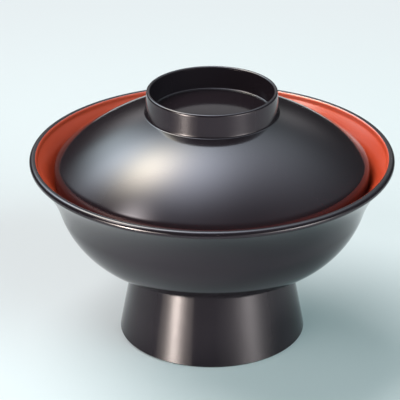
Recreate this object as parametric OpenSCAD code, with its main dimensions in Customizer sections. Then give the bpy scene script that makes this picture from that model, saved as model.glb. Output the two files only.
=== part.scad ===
// Lacquered donburi bowl on a high hollow foot, with a domed lid that drops inside
// the flared rim. Each piece is a turned body of revolution about Z. The wooden cores
// carry black lacquer outside and vermilion lacquer inside, and the foot stands on a
// narrow bare ring. Millimetres, +Z up, and the origin lies at the centre of that ring.

/* [Bowl] */
// Diameter over the rounded rim
rim_d = 193; // [175:1:215]
// Height of the rim above the table
bowl_h = 102; // [98:1:110]
// Thickness of the finished wall, lacquer included
wall = 3.5; // [2.8:0.1:4]
// Thickness of the rounded lip, which stands proud of the wall inside
lip_d = 4.2; // [3.8:0.1:5]
// How far the rim stands out beyond the waist, where the belly turns into the flare
flare_out = 15; // [13:0.1:17]
// Height of the waist above the table
waist_h = 74; // [70:0.5:78]
// Slope of the wall at the waist, in degrees from level
waist_slope = 73.5; // [69:0.5:78]
// Outside radius of the belly
belly_r = 47; // [42:0.5:52]
// Height of the bowl's underside at its middle, above the table
underside_h = 29.2; // [27:0.2:32]

/* [Lacquer] */
// Thickness of each lacquer coat
film = 0.4; // [0.3:0.05:0.6]
// Where the black ends on the lip, in degrees from its outermost point over its top
black_end = 120; // [105:1:135]

/* [Foot] */
// Diameter of the foot on the table
foot_d = 100.2; // [94:0.2:110]
// Diameter of the foot where it meets the bowl
foot_top_d = 86; // [82:0.5:90]
// Width of the foot's finished wall, measured level
foot_wall = 4.6; // [3.6:0.1:6]
// Thickness between the hollow under the foot and the bowl's underside, at the middle
hollow_roof = 3.2; // [2.6:0.1:9]
// Bevel round the foot's outer and inner bottom edges
foot_bevel = 0.7; // [0.3:0.1:1]
// Diameter of the stub under the bowl that plugs into the foot
stub_d = 72; // [60:1:76]

/* [Lid] */
// How far the lid's skirt lies inside the outer edge of the rim
lid_inset = 13; // [12:0.1:14.5]
// Thickness of the finished lid at its skirt
lid_wall = 3.6; // [3:0.1:4.4]
// Height of the straight skirt above the middle of its rounded edge
skirt_h = 5.4; // [4:0.1:8]
// Radius of the shoulder between skirt and dome
shoulder_r = 7; // [5:0.5:10]
// Height of the dome's peak above the top of the skirt
dome_rise = 36.7; // [32:0.1:41]
// Thickness of the finished lid in the middle of the grip
crown_wall = 3.8; // [3:0.1:5]
// Room between the lid's edge and the slope that it rests on
seat_gap = 0.3; // [0.2:0.05:0.6]

/* [Grip ring] */
// Diameter of the ring where it stands on the lid
grip_d = 70.2; // [62:0.2:78]
// Diameter over the top of the ring
grip_top_d = 68.8; // [60.6:0.2:76.6]
// Height of the ring above the lid
grip_h = 12.4; // [9:0.1:16]
// Thickness of the ring at its rounded top
grip_wall = 2.1; // [1.6:0.1:2.6]
// Thickness of the ring at its base
grip_base = 3.1; // [2.7:0.1:4]
// Rise of the lid inside the ring, from the corner to the middle
floor_rise = 2; // [1:0.1:3]
// Depth of the groove that holds the ring's lower edge
groove_depth = 1.4; // [0.8:0.1:1.8]

/* [Glue joints] */
// Room for glue round each plugged joint
glue_gap = 0.1; // [0.05:0.05:0.2]

/* [Hidden] */
$fn = 180;

// Most that a turned profile's short steps stray from its true arcs
arc_error = 0.02;

wood = "burlywood";
black = "#232124";
vermilion = "#c9502f";

// Bowl wall: three arcs that run into each other, centred at bottom_c, belly_c and flare_c
lip_r = lip_d / 2;
out_dir = [sin(waist_slope), -cos(waist_slope)];
waist_a = waist_slope - 90;
waist = [rim_d / 2 - flare_out, waist_h];
belly_c = waist - belly_r * out_dir;
bottom_r = dome_radius(belly_c[0], belly_c[1] - underside_h, belly_r);
bottom_c = [0, underside_h + bottom_r];
bottom_a = angle_to(bottom_c, belly_c);
lip_c = [rim_d / 2 - lip_r, bowl_h - lip_r];
lip_run = lip_c - waist + lip_r * out_dir;
lip_reach = (lip_run * lip_run) / (2 * lip_run * out_dir);
flare_r = lip_reach - lip_r;
flare_c = waist + flare_r * out_dir;
lip_a = angle_to(flare_c, lip_c);

// Foot: a hollow cone that ends on the underside of the bowl
hollow_h = underside_h - hollow_roof;
foot_top_r = foot_top_d / 2;
foot_top_h = bottom_c[1] - sqrt(pow(bottom_r, 2) - pow(foot_top_r, 2));
foot_taper = (foot_d / 2 - foot_top_r) / foot_top_h;
level_share = sqrt(1 + pow(foot_taper, 2));
stub_r = stub_d / 2;

// Lid: the rounded edge rests on the flare, then come skirt, shoulder and dome
lid_r = rim_d / 2 - lid_inset;
edge_r = lid_wall / 2;
edge_x = lid_r - edge_r;
seat_reach = flare_r + wall + seat_gap + edge_r;
edge_z = flare_c[1] + sqrt(pow(seat_reach, 2) - pow(flare_c[0] - edge_x, 2));
edge_c = [edge_x, edge_z];
shoulder_c = [lid_r - shoulder_r, edge_z + skirt_h];
dome_r = dome_radius(shoulder_c[0], dome_rise, shoulder_r);
dome_c = [0, shoulder_c[1] + dome_rise - dome_r];
dome_a = angle_to(dome_c, shoulder_c);

// Grip ring and the shallow floor inside it
grip_r = grip_d / 2;
grip_in_r = grip_r - grip_base;
grip_z = dome_c[1] + sqrt(pow(dome_r, 2) - pow(grip_r, 2));
seat_z = grip_z - film;
grip_round_r = grip_wall / 2;
grip_round_c = [grip_top_d / 2 - grip_round_r, grip_z + grip_h - grip_round_r];
floor_top = grip_z + floor_rise;
floor_r = (pow(grip_in_r, 2) + pow(floor_rise, 2)) / (2 * floor_rise);
floor_c = [0, floor_top - floor_r];

// Underside of the lid
under_corner_r = shoulder_r - lid_wall;
under_rise = floor_top - crown_wall - shoulder_c[1];
under_r = dome_radius(shoulder_c[0], under_rise, under_corner_r);
under_c = [0, shoulder_c[1] + under_rise - under_r];
under_a = angle_to(under_c, shoulder_c);

// Radius of a dome centred on the axis that runs into a corner arc, rise above the corner's centre
function dome_radius(corner_x, rise, corner_r) =
    (pow(corner_x, 2) + pow(rise, 2) - pow(corner_r, 2)) / (2 * (rise - corner_r));

function angle_to(from, to) = atan2(to[1] - from[1], to[0] - from[0]);

function polar(centre, r, angle) = centre + r * [cos(angle), sin(angle)];

// Points along an arc, after its first point
function arc(centre, r, from, to) =
    let (steps = ceil(abs(to - from) / (2 * acos(1 - arc_error / r))))
    [for (i = [1:steps]) polar(centre, r, from + (to - from) * i / steps)];

function reverse(points) = [for (i = [len(points) - 1:-1:0]) points[i]];

// Bowl wall from the axis to an angle on the flare, at a depth below the outside
function bowl_wall(depth, end_a) = concat(
    [polar(bottom_c, bottom_r - depth, -90)],
    arc(bottom_c, bottom_r - depth, -90, bottom_a),
    arc(belly_c, belly_r - depth, bottom_a, waist_a),
    arc(flare_c, flare_r + depth, 180 + waist_a, end_a)
);

// Angle at the lip's centre where the lip, at a depth, meets the inside of the wall
function lip_end_a(depth) =
    let (near = lip_r - depth, far = flare_r + wall - depth)
    lip_a + 180 - acos((pow(near, 2) + pow(lip_reach, 2) - pow(far, 2)) / (2 * near * lip_reach));

// Lip from the outside of the wall over to the corner inside, with its face drawn in by a depth
function bowl_lip(depth) = arc(lip_c, lip_r - depth, lip_a - 180, lip_end_a(depth));

// Lip up to the line between the two colours, from the outside and from the corner inside
function lip_black(depth) = arc(lip_c, lip_r - depth, lip_a - 180, black_end);
function lip_vermilion(depth) = arc(lip_c, lip_r - depth, lip_end_a(depth), black_end);

// Outside and inside of the wall, each with its face drawn in by a depth
function bowl_outside(depth) = bowl_wall(depth, lip_a);
function bowl_inside(depth) =
    bowl_wall(wall - depth, angle_to(flare_c, polar(lip_c, lip_r - depth, lip_end_a(depth))));

// Lid from the axis to the top of the skirt, with its face drawn in by a depth
function lid_top(depth) = concat(
    [polar(dome_c, dome_r - depth, 90)],
    arc(dome_c, dome_r - depth, 90, dome_a),
    arc(shoulder_c, shoulder_r - depth, dome_a, 0)
);

// Underside of the lid from the axis to the top of the skirt, pushed up by a depth
function lid_under(depth) = concat(
    [polar(under_c, under_r + depth, 90)],
    arc(under_c, under_r + depth, 90, under_a),
    arc(shoulder_c, under_corner_r + depth, under_a, 0)
);

// Outer and inner quarters of the lid's rounded edge, each ending at the lowest point
function lid_edge(r, side_a) = concat([polar(edge_c, r, side_a)], arc(edge_c, r, side_a, 270));

// Floor inside the grip ring, from the axis to under the ring, lowered by a depth
function grip_floor(depth) = concat(
    [polar(floor_c, floor_r - depth, 90)],
    arc(floor_c, floor_r - depth, 90, acos((grip_in_r + film) / (floor_r - depth)))
);

// Radius of the foot's finished cone at a height
function foot_r(z) = foot_d / 2 - foot_taper * z;

// Everything within a radius of the axis, from a height upwards
module inside_of(r, from_z) {
    translate([0, from_z]) square([r, rim_d]);
}

// Everything above a surface at a depth below the bowl's outside
module above_wall(depth) {
    polygon(concat(bowl_outside(depth), [[0, lip_c[1]]]));
}

// Solid cone of the foot, with its side and bevel drawn in by a depth
module foot_cone(depth) {
    side = depth * level_share;
    bevel_z = foot_bevel + depth;
    bevel_r = foot_r(bevel_z) - side;
    polygon([
        [0, 0],
        [bevel_r - bevel_z, 0],
        [bevel_r, bevel_z],
        [foot_top_r - side, foot_top_h],
        [0, foot_top_h]
    ]);
}

// Hollow under the foot, with its roof, side and bevel pushed out by a depth
module foot_hollow(depth) {
    side = depth * level_share - foot_wall;
    bevel_z = foot_bevel + depth;
    bevel_r = foot_r(bevel_z) + side;
    roof_z = hollow_h + depth;
    polygon([
        [0, 0],
        [bevel_r + bevel_z, 0],
        [bevel_r, bevel_z],
        [foot_r(roof_z) + side, roof_z],
        [0, roof_z]
    ]);
}

// Cross-section of the grip ring above its seat, with every face drawn in by a depth
module grip_section(depth) {
    top_r = grip_round_r - depth;
    polygon(concat(
        [[grip_in_r + depth, seat_z]],
        [[grip_r - depth, seat_z]],
        [polar(grip_round_c, top_r, 0)],
        arc(grip_round_c, top_r, 0, 180)
    ));
}

// Part of the ring's core that sits in the lid's groove, with room round it
module grip_tongue(room) {
    translate([grip_in_r + film - room, seat_z - groove_depth - room])
        square([grip_base - 2 * film + 2 * room, groove_depth + room]);
}

module bowl_core() {
    color(wood) rotate_extrude() {
        polygon(concat(bowl_outside(film), bowl_lip(film), reverse(bowl_inside(film))));
        difference() {
            translate([0, hollow_h + film]) square([stub_r, foot_top_h]);
            above_wall(wall / 2);
        }
    }
}

module bowl_black_lacquer() {
    color(black) rotate_extrude() difference() {
        polygon(concat(
            bowl_outside(0),
            lip_black(0),
            reverse(lip_black(film)),
            reverse(bowl_outside(film))
        ));
        inside_of(foot_top_r - film * level_share, 0);
    }
}

module bowl_vermilion_lacquer() {
    color(vermilion) rotate_extrude()
        polygon(concat(
            bowl_inside(film),
            lip_vermilion(film),
            reverse(lip_vermilion(0)),
            reverse(bowl_inside(0))
        ));
}

module foot_core() {
    color(wood) rotate_extrude() difference() {
        foot_cone(film);
        foot_hollow(film);
        inside_of(stub_r + glue_gap, 0);
        above_wall(film - glue_gap);
    }
}

module foot_black_lacquer() {
    color(black) rotate_extrude() difference() {
        foot_cone(0);
        foot_cone(film);
        above_wall(0);
    }
}

module foot_hollow_lacquer() {
    color(black) rotate_extrude() difference() {
        foot_hollow(film);
        foot_hollow(0);
    }
}

module lid_core() {
    color(wood) rotate_extrude() difference() {
        polygon(concat(
            lid_top(film),
            lid_edge(edge_r - film, 360),
            reverse(lid_edge(edge_r - film, 180)),
            reverse(lid_under(film))
        ));
        polygon(concat(
            grip_floor(film),
            [[grip_in_r + film, seat_z], [grip_r, seat_z]],
            [[grip_r, rim_d], [0, rim_d]]
        ));
        grip_tongue(glue_gap);
    }
}

module lid_black_lacquer() {
    color(black) rotate_extrude() difference() {
        polygon(concat(
            lid_top(0),
            lid_edge(edge_r, 360),
            reverse(lid_edge(edge_r - film, 360)),
            reverse(lid_top(film))
        ));
        inside_of(grip_r, edge_z);
    }
}

module lid_vermilion_lacquer() {
    color(vermilion) rotate_extrude()
        polygon(concat(
            lid_under(film),
            lid_edge(edge_r - film, 180),
            reverse(lid_edge(edge_r, 180)),
            reverse(lid_under(0))
        ));
}

module grip_ring_core() {
    color(wood) rotate_extrude() {
        grip_section(film);
        grip_tongue(0);
    }
}

module grip_ring_black_lacquer() {
    color(black) rotate_extrude() difference() {
        union() {
            grip_section(0);
            polygon(concat(grip_floor(film), reverse(grip_floor(0))));
        }
        grip_section(film);
    }
}

bowl_core();
bowl_black_lacquer();
bowl_vermilion_lacquer();
foot_core();
foot_black_lacquer();
foot_hollow_lacquer();
lid_core();
lid_black_lacquer();
lid_vermilion_lacquer();
grip_ring_core();
grip_ring_black_lacquer();
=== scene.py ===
"""Looks of a lacquered donburi bowl with its lid.

Smooth lacquer skins stand for the solids' thin coats, the turned cores keep their solids and get a
wood finish, and a pale studio stands round them, seen from the photograph's side.
"""
import math

import bmesh
import bpy
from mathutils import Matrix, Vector


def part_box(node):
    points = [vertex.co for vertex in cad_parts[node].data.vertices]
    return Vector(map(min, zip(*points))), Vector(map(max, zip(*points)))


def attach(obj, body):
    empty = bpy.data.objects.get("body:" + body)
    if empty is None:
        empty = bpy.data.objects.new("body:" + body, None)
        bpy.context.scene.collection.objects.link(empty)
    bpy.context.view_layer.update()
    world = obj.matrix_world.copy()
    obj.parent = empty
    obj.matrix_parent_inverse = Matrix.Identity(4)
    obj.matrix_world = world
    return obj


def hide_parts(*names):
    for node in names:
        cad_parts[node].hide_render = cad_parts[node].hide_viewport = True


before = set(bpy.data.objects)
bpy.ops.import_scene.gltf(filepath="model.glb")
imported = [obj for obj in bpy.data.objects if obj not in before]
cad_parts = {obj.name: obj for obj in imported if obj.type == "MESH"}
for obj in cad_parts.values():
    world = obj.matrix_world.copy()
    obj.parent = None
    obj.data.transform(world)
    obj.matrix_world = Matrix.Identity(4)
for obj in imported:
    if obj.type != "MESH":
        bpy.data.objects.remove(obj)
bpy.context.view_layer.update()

MM = 0.001


def box_mm(node):
    """Lowest and highest corner of a solid, in millimetres."""
    low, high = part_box(node)
    return low / MM, high / MM


def reach_mm(node):
    """Least distance from the axis to a side of a solid's box, in millimetres."""
    low, high = box_mm(node)
    return min(high.x, high.y, -low.x, -low.y)


# Sizes in millimetres that the solids give
rim_r = reach_mm("bowl_black_lacquer")
bowl_h = box_mm("bowl_black_lacquer")[1].z
foot_top_h = box_mm("foot_black_lacquer")[1].z
lid_r = reach_mm("lid_black_lacquer")
lid_low = box_mm("lid_black_lacquer")[0].z
grip_r = reach_mm("grip_ring_black_lacquer")
grip_top = box_mm("grip_ring_black_lacquer")[1].z

# Thickness of every lacquer film, in millimetres
FILM = 0.4

# Bowl, in millimetres; the slope of its waist is in degrees, and so is the turn round the lip,
# from its outermost point, at which the black ends
WALL = 3.5
LIP_D = 4.2
BLACK_END = 120.0
FLARE_OUT = 15.0
WAIST_H = 74.0
WAIST_SLOPE = 73.5
BELLY_R = 47.0
UNDERSIDE_H = 29.2

# Foot, in millimetres
FOOT_R = 50.1
FOOT_TOP_R = 43.0
FOOT_WALL = 4.6
FOOT_BEVEL = 0.7
HOLLOW_H = 26.0

# Lid and its ring, in millimetres
LID_WALL = 3.6
SKIRT_H = 5.4
SHOULDER_R = 7.0
DOME_RISE = 36.7
CROWN_WALL = 3.8
GRIP_H = 12.4
GRIP_TOP_R = 34.4
GRIP_WALL = 2.1
GRIP_BASE = 3.1
FLOOR_RISE = 2.0

# Radii of the fillets that lacquer forms in the inner corners, in millimetres
LIP_FILLET = 2.5
GRIP_FILLET = 1.0
FLOOR_FILLET = 1.0

# Fineness of the spun skins: segments round the axis, longest steps of a profile in millimetres, and
# in degrees the longest turn of a shown arc and the angle from which an edge is sharp
SEGMENTS = 192
STEP = 0.8
LINE_STEP = STEP * 3
HIDDEN_STEP = 4.0
HIDDEN_LIP_STEP = 0.5
TURN = 8.0
SHARP = 30.0

# Points closer together than this are one point, and a point this close to the axis lies on it
SAME_POINT = 1e-4
ON_AXIS = 1e-6


def polar(centre, radius, angle):
    a = math.radians(angle)
    return centre[0] + radius * math.cos(a), centre[1] + radius * math.sin(a)


def angle_to(start, end):
    return math.degrees(math.atan2(end[1] - start[1], end[0] - start[0]))


def moved(point, direction, length):
    return point[0] + direction[0] * length, point[1] + direction[1] * length


def unit_to(start, end):
    reach = math.dist(start, end)
    return (end[0] - start[0]) / reach, (end[1] - start[1]) / reach


def dot(first, second):
    return first[0] * second[0] + first[1] * second[1]


def dome_radius(corner_x, rise, corner_r):
    """Radius of a dome centred on the axis that runs into a corner arc."""
    return (corner_x**2 + rise**2 - corner_r**2) / (2 * (rise - corner_r))


def arc(centre, radius, start, end, step=STEP):
    """Points along an arc, both ends included. Shown arcs also keep to the longest turn."""
    turn = abs(end - start)
    count = max(1, math.ceil(math.radians(turn) * radius / step))
    if step == STEP:
        count = max(count, math.ceil(turn / TURN))
    return [polar(centre, radius, start + (end - start) * i / count) for i in range(count + 1)]


def line(start, end):
    """Points along a straight line, both ends included."""
    count = max(1, math.ceil(math.dist(start, end) / LINE_STEP))
    return [
        (start[0] + (end[0] - start[0]) * i / count, start[1] + (end[1] - start[1]) * i / count)
        for i in range(count + 1)
    ]


def circles_meet(c0, r0, c1, r1, side):
    """The point at r0 from c0 and r1 from c1, left (1) or right (-1) of the line from c0 to c1."""
    reach = math.dist(c0, c1)
    along = (reach**2 + r0**2 - r1**2) / (2 * reach)
    across = math.sqrt(r0**2 - along**2)
    ux, uz = unit_to(c0, c1)
    return c0[0] + ux * along - uz * across * side, c0[1] + uz * along + ux * across * side


def line_meets_circle(start, direction, centre, radius):
    """The last point along a line that lies on a circle."""
    away = (start[0] - centre[0], start[1] - centre[1])
    half = dot(away, direction)
    return moved(start, direction, -half + math.sqrt(half**2 - dot(away, away) + radius**2))


# Bowl wall: three arcs that run into each other, and the bead of the lip
lip_r = LIP_D / 2
out_dir = (math.sin(math.radians(WAIST_SLOPE)), -math.cos(math.radians(WAIST_SLOPE)))
waist_a = WAIST_SLOPE - 90
waist = (rim_r - FLARE_OUT, WAIST_H)
belly_c = moved(waist, out_dir, -BELLY_R)
bottom_r = dome_radius(belly_c[0], belly_c[1] - UNDERSIDE_H, BELLY_R)
bottom_c = (0, UNDERSIDE_H + bottom_r)
bottom_a = angle_to(bottom_c, belly_c)
lip_c = (rim_r - lip_r, bowl_h - lip_r)
lip_run = moved((lip_c[0] - waist[0], lip_c[1] - waist[1]), out_dir, lip_r)
lip_reach = dot(lip_run, lip_run) / (2 * dot(lip_run, out_dir))
flare_r = lip_reach - lip_r
flare_c = moved(waist, out_dir, flare_r)
lip_a = angle_to(flare_c, lip_c)

# Foot: a cone, and how much wider a film on its side is when measured level
foot_taper = (FOOT_R - FOOT_TOP_R) / foot_top_h
level_share = math.sqrt(1 + foot_taper**2)

# Lid: rounded edge, straight skirt, shoulder, dome, and the crowned floor inside the ring
edge_r = LID_WALL / 2
edge_c = (lid_r - edge_r, lid_low + edge_r)
shoulder_c = (lid_r - SHOULDER_R, edge_c[1] + SKIRT_H)
dome_r = dome_radius(shoulder_c[0], DOME_RISE, SHOULDER_R)
dome_c = (0, shoulder_c[1] + DOME_RISE - dome_r)
dome_a = angle_to(dome_c, shoulder_c)
grip_z = grip_top - GRIP_H
grip_in_r = grip_r - GRIP_BASE
grip_round_r = GRIP_WALL / 2
grip_round_c = (GRIP_TOP_R - grip_round_r, grip_top - grip_round_r)
floor_top = grip_z + FLOOR_RISE
floor_r = (grip_in_r**2 + FLOOR_RISE**2) / (2 * FLOOR_RISE)
floor_c = (0, floor_top - floor_r)
under_corner_r = SHOULDER_R - LID_WALL
under_rise = floor_top - CROWN_WALL - shoulder_c[1]
under_r = dome_radius(shoulder_c[0], under_rise, under_corner_r)
under_c = (0, shoulder_c[1] + under_rise - under_r)
under_a = angle_to(under_c, shoulder_c)


def foot_side(z):
    """Radius of the foot's outside at a height."""
    return FOOT_R - foot_taper * z


def lip_end(depth):
    """Where the lip's bead, at a depth, meets the inside of the wall."""
    return circles_meet(lip_c, lip_r - depth, flare_c, flare_r + WALL - depth, -1)


def bowl_outside(depth, start_r, step=STEP):
    """Outside of the bowl from a radius near the foot to the lip, at a depth below the face."""
    start_a = -math.degrees(math.acos(start_r / (bottom_r - depth)))
    return (
        arc(bottom_c, bottom_r - depth, start_a, bottom_a, step)
        + arc(belly_c, BELLY_R - depth, bottom_a, waist_a, step)
        + arc(flare_c, flare_r + depth, 180 + waist_a, lip_a, step)
    )


def bowl_lip(depth, start, step=STEP):
    """Lip at a depth, from an angle to the line between the two colours."""
    return arc(lip_c, lip_r - depth, start, BLACK_END, step)


def bowl_inside(depth, end, step=STEP):
    """Inside of the bowl from the axis up to a point on the flare, at a depth below the face."""
    deep = WALL - depth
    return (
        arc(bottom_c, bottom_r - deep, -90, bottom_a, step)
        + arc(belly_c, BELLY_R - deep, bottom_a, waist_a, step)
        + arc(flare_c, flare_r + deep, 180 + waist_a, angle_to(flare_c, end), step)
    )


def bowl_black_profile():
    """Outside of the bowl and of its lip, down to the top of the foot."""
    inner_r = FOOT_TOP_R - FILM * level_share
    start = lip_a - 180
    hidden = bowl_outside(FILM, inner_r, HIDDEN_STEP) + bowl_lip(FILM, start, HIDDEN_LIP_STEP)
    return bowl_outside(0, FOOT_TOP_R) + bowl_lip(0, start) + hidden[::-1]


def bowl_vermilion_profile():
    """Inside of the bowl and of its lip, with a fillet of lacquer between them."""
    fillet_c = circles_meet(lip_c, lip_r + LIP_FILLET, flare_c, flare_r + WALL + LIP_FILLET, -1)
    on_wall = moved(flare_c, unit_to(flare_c, fillet_c), flare_r + WALL)
    on_lip = moved(lip_c, unit_to(lip_c, fillet_c), lip_r)
    start, end = angle_to(fillet_c, on_wall) % 360, angle_to(fillet_c, on_lip) % 360
    shown = bowl_inside(0, on_wall) + arc(fillet_c, LIP_FILLET, start, end)
    shown += bowl_lip(0, angle_to(lip_c, on_lip) % 360)
    corner = lip_end(FILM)
    hidden = bowl_inside(FILM, corner, HIDDEN_STEP)
    hidden += bowl_lip(FILM, angle_to(lip_c, corner) % 360, HIDDEN_LIP_STEP)
    return shown + hidden[::-1]


def foot_outside(depth):
    """Outside of the foot from its bare ring over the bevel to the bowl, at a depth."""
    side = depth * level_share
    bevel_z = FOOT_BEVEL + depth
    bevel = (foot_side(bevel_z) - side, bevel_z)
    top_r = FOOT_TOP_R - side
    top = (top_r, bottom_c[1] - math.sqrt(bottom_r**2 - top_r**2))
    return line((bevel[0] - bevel_z, 0), bevel) + line(bevel, top)


def foot_hollow(depth):
    """Hollow of the foot from its bare ring over the bevel to the middle of its roof, at a depth."""
    side = depth * level_share - FOOT_WALL
    bevel_z = FOOT_BEVEL + depth
    roof_z = HOLLOW_H + depth
    bevel = (foot_side(bevel_z) + side, bevel_z)
    corner = (foot_side(roof_z) + side, roof_z)
    return line((bevel[0] + bevel_z, 0), bevel) + line(bevel, corner) + line(corner, (0, roof_z))


def foot_black_profile():
    return foot_outside(0) + foot_outside(FILM)[::-1]


def foot_hollow_profile():
    return foot_hollow(0) + foot_hollow(FILM)[::-1]


def lid_top(depth, step=STEP):
    """Lid from the ring's foot over dome, shoulder and skirt to the lowest point of its edge."""
    start_a = math.degrees(math.acos(grip_r / (dome_r - depth)))
    return (
        arc(dome_c, dome_r - depth, start_a, dome_a, step)
        + arc(shoulder_c, SHOULDER_R - depth, dome_a, 0, step)
        + arc(edge_c, edge_r - depth, 0, -90, step)
    )


def lid_under(depth, step=STEP):
    """Underside of the lid from the axis to the lowest point of its edge."""
    return (
        arc(under_c, under_r + depth, 90, under_a, step)
        + arc(shoulder_c, under_corner_r + depth, under_a, 0, step)
        + arc(edge_c, edge_r - depth, 180, 270, step)
    )


def lid_black_profile():
    return lid_top(0) + lid_top(FILM, HIDDEN_STEP)[::-1]


def lid_vermilion_profile():
    return lid_under(0) + lid_under(FILM, HIDDEN_STEP)[::-1]


def wall_fillet(foot, head, outward, centre, radius, fillet):
    """Fillet between a leaning wall and a dome: the points from the wall down to the dome."""
    along = unit_to(foot, head)
    normal = (along[1] * outward, -along[0] * outward)
    fillet_c = line_meets_circle(moved(foot, normal, fillet), along, centre, radius + fillet)
    on_wall = moved(fillet_c, normal, -fillet)
    on_dome = moved(centre, unit_to(centre, fillet_c), radius)
    start, end = angle_to(fillet_c, on_wall), angle_to(fillet_c, on_dome)
    if outward > 0:
        start, end = start % 360, end % 360
    return arc(fillet_c, fillet, start, end)


def grip_ring_profile():
    """Floor, inner wall, rounded top and outer wall of the ring, with a fillet at each foot."""
    seat_z = grip_z - FILM
    inner_head = polar(grip_round_c, grip_round_r, 180)
    outer_head = polar(grip_round_c, grip_round_r, 0)
    inner = wall_fillet((grip_in_r, seat_z), inner_head, -1, floor_c, floor_r, FLOOR_FILLET)
    outer = wall_fillet((grip_r, seat_z), outer_head, 1, dome_c, dome_r, GRIP_FILLET)
    floor_end = angle_to(floor_c, inner[-1])
    top = arc(grip_round_c, grip_round_r, 180, 0)
    shown = (
        arc(floor_c, floor_r, 90, floor_end)
        + inner[::-1]
        + line(inner[0], top[0])
        + top
        + line(top[-1], outer[0])
        + outer
    )
    under = [(grip_r, seat_z), (grip_r - FILM, seat_z), (grip_r - FILM, grip_z)]
    hidden = under + line(under[-1], (GRIP_TOP_R - FILM, grip_round_c[1]))
    hidden += arc(grip_round_c, grip_round_r - FILM, 0, 180)
    hidden += line(hidden[-1], (grip_in_r + FILM, grip_z))
    floor_low = arc(floor_c, floor_r - FILM, 90, floor_end, HIDDEN_STEP)
    return shown + hidden + floor_low[::-1]


def without_repeats(points):
    """Points without those that lie on the point before."""
    kept = []
    for p in points:
        if not kept or math.dist(p, kept[-1]) > SAME_POINT:
            kept.append(p)
    return kept


def spun(name, points, closed=True):
    """Skin turned about the axis from a profile in millimetres, whose ends are joined if it is closed."""
    turns = [2 * math.pi * i / SEGMENTS for i in range(SEGMENTS)]
    bm = bmesh.new()
    rings = []
    for r, z in without_repeats(points):
        if r < ON_AXIS:
            rings.append([bm.verts.new((0, 0, z * MM))])
            continue
        rings.append([bm.verts.new((r * MM * math.cos(t), r * MM * math.sin(t), z * MM)) for t in turns])
    for low, high in zip(rings, rings[1:] + rings[:closed]):
        if len(low) == len(high) == 1:
            continue
        for i in range(SEGMENTS):
            corners = [low[i % len(low)], low[(i + 1) % len(low)]]
            corners += [high[(i + 1) % len(high)], high[i % len(high)]]
            bm.faces.new(list(dict.fromkeys(corners)))
    bmesh.ops.recalc_face_normals(bm, faces=bm.faces)
    mesh = bpy.data.meshes.new(name)
    bm.to_mesh(mesh)
    bm.free()
    mesh.shade_smooth()
    mesh.set_sharp_from_angle(angle=math.radians(SHARP))
    piece = bpy.data.objects.new(name, mesh)
    bpy.context.scene.collection.objects.link(piece)
    return piece


# The part of its range in which most of a noise lies, the whole range, and the least distance from
# the axis, in metres, that turned coordinates are divided by
NOISE_MIDDLE = (0.3, 0.7)
NOISE_WHOLE = (0.0, 1.0)
LATHE_CORE = 0.004


class Nodes:
    """A node tree, built by add() from a node's kind, its settings and its inputs.

    Inputs are given by name, or as i0, i1 and so on by their number.
    """

    def __init__(self, owner):
        owner.use_nodes = True
        self.owner = owner
        self.tree = owner.node_tree
        self.tree.nodes.clear()

    def add(self, kind, settings=None, **inputs):
        node = self.tree.nodes.new("ShaderNode" + kind)
        for key, value in (settings or {}).items():
            setattr(node, key, value)
        for key, value in inputs.items():
            numbered = key[0] == "i" and key[1:].isdigit()
            socket = node.inputs[int(key[1:]) if numbered else key]
            if isinstance(value, bpy.types.NodeSocket):
                self.tree.links.new(value, socket)
            else:
                socket.default_value = value
        return node

    def noise(self, vector, scale, detail=3.0, rough=0.5):
        node = self.add("TexNoise", Vector=vector, Scale=scale, Detail=detail, Roughness=rough)
        return node.outputs["Fac"]

    def spread(self, value, low, high, source=NOISE_MIDDLE):
        """Maps a range of a value onto another and holds it at that range's ends."""
        node = self.add("MapRange", i0=value, i1=source[0], i2=source[1], i3=low, i4=high)
        return node.outputs["Result"]

    def between(self, value, first, second):
        """A colour that runs from the first at 0 to the second at 1."""
        node = self.add("Mix", {"data_type": "RGBA"}, i0=value, i6=(*first, 1), i7=(*second, 1))
        return node.outputs[2]

    def maths(self, operation, first, second=0.0):
        return self.add("Math", {"operation": operation}, i0=first, i1=second).outputs[0]

    def turned_coordinates(self, stretch):
        """Coordinates that follow the lathe: turns round the axis, distance from it, and height."""
        place = self.add("TexCoord").outputs["Object"]
        parts = self.add("SeparateXYZ", Vector=place)
        x, y, z = parts.outputs
        square = self.maths("ADD", self.maths("MULTIPLY", x, x), self.maths("MULTIPLY", y, y))
        radius = self.maths("SQRT", square)
        safe = self.maths("MAXIMUM", radius, LATHE_CORE)
        across = self.add("CombineXYZ", X=self.maths("DIVIDE", x, safe), Y=self.maths("DIVIDE", y, safe))
        small = self.add("VectorMath", {"operation": "SCALE"}, Vector=across.outputs[0], Scale=stretch)
        level = self.add("CombineXYZ", X=radius, Y=z)
        both = self.add("VectorMath", {"operation": "ADD"}, i0=small.outputs[0], i1=level.outputs[0])
        return both.outputs[0]

    def close(self, shader, output="OutputMaterial"):
        self.add(output, Surface=shader.outputs[0])
        return self.owner


# Fine orange peel of both lacquers: patches in a metre, and detail
PEEL = 420.0
PEEL_DETAIL = 2.0

# Black lacquer: two near tones in soft clouds, roughness, lathe marks, and relief with its depth in metres
BLACK_CLOUDS = 26.0
BLACK_TONES = ((0.0155, 0.0110, 0.0140), (0.0185, 0.0135, 0.0165))
BLACK_ROUGHNESS = (0.105, 0.125)
BLACK_PEEL_ROUGHNESS = 0.006
LATHE = 700.0
LATHE_DETAIL = 1.0
LATHE_STRETCH = 0.004
LATHE_SHARE = 0.6
BLACK_RELIEF = 0.06
BLACK_RELIEF_DEPTH = 0.00004
BLACK_IOR = 1.5
BLACK_TINT = (0.93, 0.76, 0.86, 1)

# The black's gloss falls from the first level to the second as a face turns from the first share of
# a flat angle to the second
BLACK_GLOSS = (0.5, 0.25)
BLACK_TURN = (0.4, 0.8)

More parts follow.
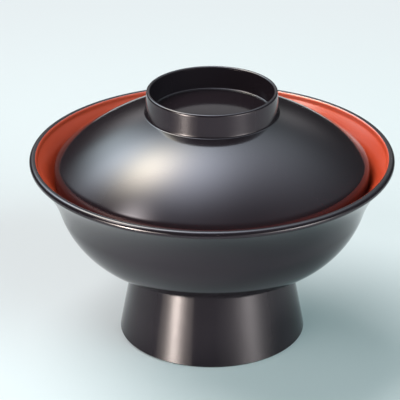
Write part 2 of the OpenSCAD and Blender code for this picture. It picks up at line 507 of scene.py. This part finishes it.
# Vermilion lacquer: two near tones in soft clouds, roughness, and relief with its depth in metres
RED_CLOUDS = 30.0
RED_TONES = ((0.675, 0.072, 0.025), (0.715, 0.081, 0.029))
RED_ROUGHNESS = (0.27, 0.29)
RED_RELIEF = 0.05
RED_RELIEF_DEPTH = 0.00003
RED_IOR = 1.75

# Wood: light and dark tone, fibres drawn out along the grain, wavy bands, and relief with its depth in metres
WOOD_TONES = ((0.52, 0.34, 0.19), (0.30, 0.17, 0.085))
WOOD_GRAIN = (60.0, 420.0, 60.0)
FIBRES = 4.0
FIBRE_DETAIL = 5.0
FIBRE_ROUGHNESS = 0.6
BANDS = 70.0
BAND_WAVER = 5.0
BAND_DETAIL = 3.0
BAND_SHARE = 0.6
FIBRE_SHARE = 0.4
WOOD_ROUGHNESS = (0.55, 0.7)
WOOD_RELIEF = 0.25
WOOD_RELIEF_DEPTH = 0.00015


def black_lacquer():
    """Near-black polished lacquer with a soft gloss, faint lathe marks and a fine orange peel."""
    f = Nodes(bpy.data.materials.new("black_lacquer"))
    place = f.add("TexCoord").outputs["Object"]
    clouds = f.noise(place, BLACK_CLOUDS)
    peel = f.noise(place, PEEL, PEEL_DETAIL)
    lathe = f.noise(f.turned_coordinates(LATHE_STRETCH), LATHE, LATHE_DETAIL)
    colour = f.between(f.spread(clouds, 0, 1), *BLACK_TONES)
    unevenness = f.spread(peel, -BLACK_PEEL_ROUGHNESS, BLACK_PEEL_ROUGHNESS)
    roughness = f.maths("ADD", f.spread(clouds, *BLACK_ROUGHNESS), unevenness)
    relief = f.maths("ADD", peel, f.maths("MULTIPLY", lathe, LATHE_SHARE))
    bump = f.add("Bump", Height=relief, Strength=BLACK_RELIEF, Distance=BLACK_RELIEF_DEPTH)
    shader = f.add("BsdfPrincipled", Roughness=roughness, IOR=BLACK_IOR, Normal=bump.outputs[0])
    shader.inputs["Specular Tint"].default_value = BLACK_TINT
    facing = f.add("LayerWeight").outputs["Facing"]
    gloss = f.spread(facing, *BLACK_GLOSS, BLACK_TURN)
    f.tree.links.new(gloss, shader.inputs["Specular IOR Level"])
    f.tree.links.new(colour, shader.inputs["Base Color"])
    return f.close(shader)


def vermilion_lacquer():
    """Warm vermilion lacquer, evenly coated, with a soft gloss and a fine orange peel."""
    f = Nodes(bpy.data.materials.new("vermilion_lacquer"))
    place = f.add("TexCoord").outputs["Object"]
    clouds = f.noise(place, RED_CLOUDS)
    peel = f.noise(place, PEEL, PEEL_DETAIL)
    colour = f.between(clouds, *RED_TONES)
    roughness = f.spread(clouds, *RED_ROUGHNESS, NOISE_WHOLE)
    bump = f.add("Bump", Height=peel, Strength=RED_RELIEF, Distance=RED_RELIEF_DEPTH)
    shader = f.add("BsdfPrincipled", Roughness=roughness, IOR=RED_IOR, Normal=bump.outputs[0])
    f.tree.links.new(colour, shader.inputs["Base Color"])
    return f.close(shader)


def turned_wood():
    """Close-grained turned wood, as it shows on the bare ring that the foot stands on."""
    f = Nodes(bpy.data.materials.new("turned_wood"))
    place = f.add("TexCoord").outputs["Object"]
    grain = f.add("Mapping", Vector=place, Scale=WOOD_GRAIN).outputs[0]
    fibres = f.noise(grain, FIBRES, FIBRE_DETAIL, FIBRE_ROUGHNESS)
    bands = f.add(
        "TexWave", {"wave_type": "BANDS", "bands_direction": "Y"},
        Vector=place, Scale=BANDS, Distortion=BAND_WAVER, Detail=BAND_DETAIL,
    ).outputs["Fac"]
    tone = f.maths("ADD", f.maths("MULTIPLY", bands, BAND_SHARE), f.maths("MULTIPLY", fibres, FIBRE_SHARE))
    colour = f.between(tone, *WOOD_TONES)
    bump = f.add("Bump", Height=fibres, Strength=WOOD_RELIEF, Distance=WOOD_RELIEF_DEPTH)
    roughness = f.spread(fibres, *WOOD_ROUGHNESS)
    shader = f.add("BsdfPrincipled", Roughness=roughness, Normal=bump.outputs[0])
    f.tree.links.new(colour, shader.inputs["Base Color"])
    return f.close(shader)


def dress(nodes, finish):
    """Gives solids that keep their own mesh a finish."""
    for node in nodes:
        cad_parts[node].data.materials.clear()
        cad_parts[node].data.materials.append(finish)


def skin(name, profile, finish, body, node):
    """Spins a skin that rides on a body in place of one of its films."""
    piece = spun(name, profile)
    piece.data.materials.append(finish)
    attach(piece, body)
    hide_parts(node)


def make_object():
    black, vermilion, wood = black_lacquer(), vermilion_lacquer(), turned_wood()
    skin(
        "bowl_black_skin", bowl_black_profile(), black,
        "bowl", "bowl_black_lacquer",
    )
    skin(
        "bowl_lining", bowl_vermilion_profile(), vermilion,
        "bowl", "bowl_vermilion_lacquer",
    )
    skin(
        "foot_black_skin", foot_black_profile(), black,
        "bowl", "foot_black_lacquer",
    )
    skin(
        "foot_hollow_skin", foot_hollow_profile(), black,
        "bowl", "foot_hollow_lacquer",
    )
    skin(
        "lid_black_skin", lid_black_profile(), black,
        "lid", "lid_black_lacquer",
    )
    skin(
        "lid_lining", lid_vermilion_profile(), vermilion,
        "lid", "lid_vermilion_lacquer",
    )
    skin(
        "grip_ring_skin", grip_ring_profile(), black,
        "lid", "grip_ring_black_lacquer",
    )
    dress(["bowl_core", "foot_core", "lid_core", "grip_ring_core"], wood)


# Camera: elevation in degrees, distance in metres, target on the axis, and lens and sensor in millimetres
CAMERA_ELEVATION = 25.92
CAMERA_DISTANCE = 1.2
TARGET = Vector((0, 0, 0.060))
LENS = 201.24
SENSOR = 36.0
SHIFT = (-0.0301, 0.0613)


def on_sphere(azimuth, elevation, distance):
    """A place round the target: azimuth 0 is the camera's side, and 90 lies to its right."""
    a, e = math.radians(azimuth), math.radians(elevation)
    away = Vector((math.sin(a) * math.cos(e), -math.cos(a) * math.cos(e), math.sin(e)))
    return TARGET + away * distance


def aim(thing):
    thing.rotation_euler = (TARGET - thing.location).to_track_quat("-Z", "Y").to_euler()


def make_camera():
    camera = bpy.data.objects.new("camera", bpy.data.cameras.new("camera"))
    camera.data.lens = LENS
    camera.data.sensor_width = SENSOR
    camera.data.shift_x, camera.data.shift_y = SHIFT
    camera.location = on_sphere(0, CAMERA_ELEVATION, CAMERA_DISTANCE)
    aim(camera)
    bpy.context.scene.collection.objects.link(camera)
    bpy.context.scene.camera = camera


# Softboxes: azimuth and elevation in degrees, distance and side in metres, radiance and colour
SOFTBOXES = {
    "key": (-128, 58, 4.0, 3.6, 4.45, (1.03, 1.0, 1.0)),
    "right_fill": (50, 32, 2.0, 1.6, 3.5, (0.75, 0.99, 1.01)),
    "left_fill": (-40, 32, 2.0, 1.6, 2.0, (0.97, 0.99, 1.0)),
    "hollow_light": (0, -90, 0.8, 1.6, 1.0, (1.0, 1.0, 1.0)),
}


def softbox(name, azimuth, elevation, distance, side, radiance, colour):
    """Square lamp that lights the matt surfaces and isn't mirrored itself."""
    lamp = bpy.data.lights.new(name, "AREA")
    lamp.shape = "SQUARE"
    lamp.size = side
    lamp.energy = radiance * math.pi * side**2
    lamp.color = colour
    stand = bpy.data.objects.new(name, lamp)
    stand.location = on_sphere(azimuth, elevation, distance)
    aim(stand)
    stand.visible_camera = False
    stand.visible_glossy = False
    bpy.context.scene.collection.objects.link(stand)


def make_lamps():
    for name, values in SOFTBOXES.items():
        softbox(name, *values)


# What the lacquer mirrors: a sheet on the table, and dark cloth from its edge up round the set, in metres
SHEET_R = 0.62
CLOTH_R = 3.0
CLOTH_H = 0.7
CLOTH_STEPS = 12
CLOTH_TONE = (0.025, 0.025, 0.025)

# Colours of the glows
WARM = (1.06, 1.10, 0.78)
COOL = (0.88, 1.12, 1.18)
WHITE = (1.0, 1.1, 1.0)
PLAIN = (1.0, 1.0, 1.0)

# Glows on the cloth: azimuth, elevation and spread in degrees, radiance and colour
GLOWS = [
    (-124, 60, 12.0, 14.6, WARM),
    (-134, 43, 13.7, 7.0, COOL),
    (-138, 74, 19.0, 8.2, COOL),
    (-147, 29, 9.0, 1.8, COOL),
    (145, 62, 25.0, 1.85, COOL),
    (-76, 50, 8.0, 11.0, WHITE),
    (-163, 22, 9.0, 0.9, PLAIN),
    (180, 22, 9.0, 0.45, PLAIN),
    (163, 22, 9.0, 0.5, PLAIN),
]

# Upright strip lamps on the sheet: their distance and height in metres, how many spreads they reach
# to each side, and how they fade
STRIP_AT = 0.58
STRIP_H = 0.16
STRIP_REACH = 3.0
STRIP_FADE = 0.59
STRIP_POWER = -1.6

# Each strip's azimuth and spread in degrees, radiance and colour
STRIPS = {
    "left_strip": (-46, 7.5, 58.0, (1.05, 1.10, 0.90)),
    "right_strip": (49, 14.0, 12.0, (0.98, 1.10, 0.98)),
}


def mirrored_only(thing):
    """Keeps a studio piece out of sight and off the matt surfaces: only gloss shows it."""
    thing.visible_camera = False
    thing.visible_diffuse = False
    thing.visible_transmission = False
    thing.visible_shadow = False


def cloth():
    """Dark cloth with soft glows, each brightest in one direction from the bowl."""
    f = Nodes(bpy.data.materials.new("studio_cloth"))
    f.owner.cycles.emission_sampling = "NONE"
    place = f.add("TexCoord").outputs["Object"]
    ray = f.add("VectorMath", {"operation": "SUBTRACT"}, i0=place, i1=TARGET).outputs[0]
    ray = f.add("VectorMath", {"operation": "NORMALIZE"}, i0=ray).outputs[0]
    total = CLOTH_TONE
    for azimuth, elevation, spread, radiance, colour in GLOWS:
        away = on_sphere(azimuth, elevation, 1.0) - TARGET
        facing = f.add("VectorMath", {"operation": "DOT_PRODUCT"}, i0=ray, i1=away).outputs["Value"]
        fall = f.maths("MULTIPLY", f.maths("SUBTRACT", facing, 1.0), 2 / math.radians(spread) ** 2)
        share = f.maths("MULTIPLY", f.maths("EXPONENT", fall), radiance)
        glow = f.add("VectorMath", {"operation": "SCALE"}, i0=colour, Scale=share).outputs[0]
        total = f.add("VectorMath", {"operation": "ADD"}, i0=total, i1=glow).outputs[0]
    return f.close(f.add("Emission", Color=total))


def make_cloth():
    profile = [(SHEET_R / MM, 0), (CLOTH_R / MM, CLOTH_H / MM)]
    profile += arc((0, CLOTH_H / MM), CLOTH_R / MM, 0, 90, CLOTH_R / MM / CLOTH_STEPS)
    shell = spun("studio_cloth", profile, closed=False)
    shell.data.materials.append(cloth())
    mirrored_only(shell)


def strip_glow(name, spread, radiance, colour):
    """Glow that is brightest along the strip's middle and fades to its sides."""
    f = Nodes(bpy.data.materials.new(name))
    aside = f.add("SeparateXYZ", Vector=f.add("TexCoord").outputs["Object"]).outputs["X"]
    turn = f.maths("MULTIPLY", aside, 1 / (STRIP_AT * math.radians(spread)))
    spot = f.maths("ADD", f.maths("MULTIPLY", f.maths("MULTIPLY", turn, turn), STRIP_FADE), 1.0)
    share = f.maths("POWER", spot, STRIP_POWER)
    return f.close(f.add("Emission", Color=(*colour, 1), Strength=f.maths("MULTIPLY", share, radiance)))


def make_strips():
    for name, (azimuth, spread, radiance, colour) in STRIPS.items():
        half = math.tan(math.radians(spread * STRIP_REACH)) * STRIP_AT
        mesh = bpy.data.meshes.new(name)
        corners = [(-half, 0, 0), (half, 0, 0), (half, 0, STRIP_H), (-half, 0, STRIP_H)]
        mesh.from_pydata(corners, [], [(0, 1, 2, 3)])
        mesh.materials.append(strip_glow(name, spread, radiance, colour))
        card = bpy.data.objects.new(name, mesh)
        turn = math.radians(azimuth)
        card.location = (math.sin(turn) * STRIP_AT, -math.cos(turn) * STRIP_AT, 0)
        card.rotation_euler = (0, 0, turn)
        bpy.context.scene.collection.objects.link(card)
        mirrored_only(card)


# Floor and backdrop: the floor's reach and the ring over which it turns into plain backdrop, in metres,
# their colours, and the floor's sheen
STAGE_R = 4.0
SHADED_R = (0.28, 0.60)
PAPER = (0.74, 0.80, 0.81)
PALE = (0.80, 0.86, 0.88)
SHEEN_POWER = 5.0
SHEEN_ROUGHNESS = 0.15

# The hole in the floor ends this many bevels inside the foot's edge
HOLE_INSET = 1.5


def background_rays(f):
    """One for the rays that see the backdrop: those of the camera, of gloss and of glass."""
    path = f.add("LightPath").outputs
    seen = f.maths("MAXIMUM", path["Is Camera Ray"], path["Is Glossy Ray"])
    return f.maths("MAXIMUM", seen, path["Is Transmission Ray"])


def paper():
    """Pale sheet that takes the bowl's shadow near it and stays evenly pale far away.

    It has a sheen at flat angles, which the camera doesn't see, and it is clear from below.
    """
    f = Nodes(bpy.data.materials.new("pale_sheet"))
    place = f.add("TexCoord").outputs["Object"]
    reach = f.add("VectorMath", {"operation": "LENGTH"}, i0=place).outputs["Value"]
    far = f.add("MapRange", {"interpolation_type": "SMOOTHSTEP"}, i0=reach, i1=SHADED_R[0], i2=SHADED_R[1])
    share = f.maths("MULTIPLY", far.outputs[0], background_rays(f))
    unseen = f.maths("SUBTRACT", 1.0, f.add("LightPath").outputs["Is Camera Ray"])
    flatness = f.maths("POWER", f.add("LayerWeight").outputs["Facing"], SHEEN_POWER)
    sheen = f.maths("MULTIPLY", flatness, unseen)
    matt = f.add("BsdfDiffuse", Color=(*PAPER, 1))
    gloss = f.add("BsdfGlossy", Roughness=SHEEN_ROUGHNESS)
    sheet = f.add("MixShader", i0=sheen, i1=matt.outputs[0], i2=gloss.outputs[0])
    glow = f.add("Emission", Color=(*PALE, 1))
    front = f.add("MixShader", i0=share, i1=sheet.outputs[0], i2=glow.outputs[0])
    below = f.add("NewGeometry").outputs["Backfacing"]
    clear = f.add("BsdfTransparent")
    return f.close(f.add("MixShader", i0=below, i1=front.outputs[0], i2=clear.outputs[0]))


def make_stage():
    """Floor with a hole under the foot, through which its hollow takes light from below."""
    hole_r = FOOT_R - HOLE_INSET * FOOT_BEVEL
    floor = spun("floor", [(STAGE_R / MM, 0), (hole_r, 0)], closed=False)
    floor.data.materials.append(paper())


def make_world():
    """Pale backdrop that lights nothing."""
    world = bpy.data.worlds.new("backdrop")
    bpy.context.scene.world = world
    world.cycles_visibility.diffuse = False
    f = Nodes(world)
    f.close(f.add("Background", Color=(*PALE, 1), Strength=background_rays(f)), "OutputWorld")


make_object()
make_camera()
make_lamps()
make_cloth()
make_strips()
make_stage()
make_world()
bpy.context.scene.view_settings.view_transform = "Standard"
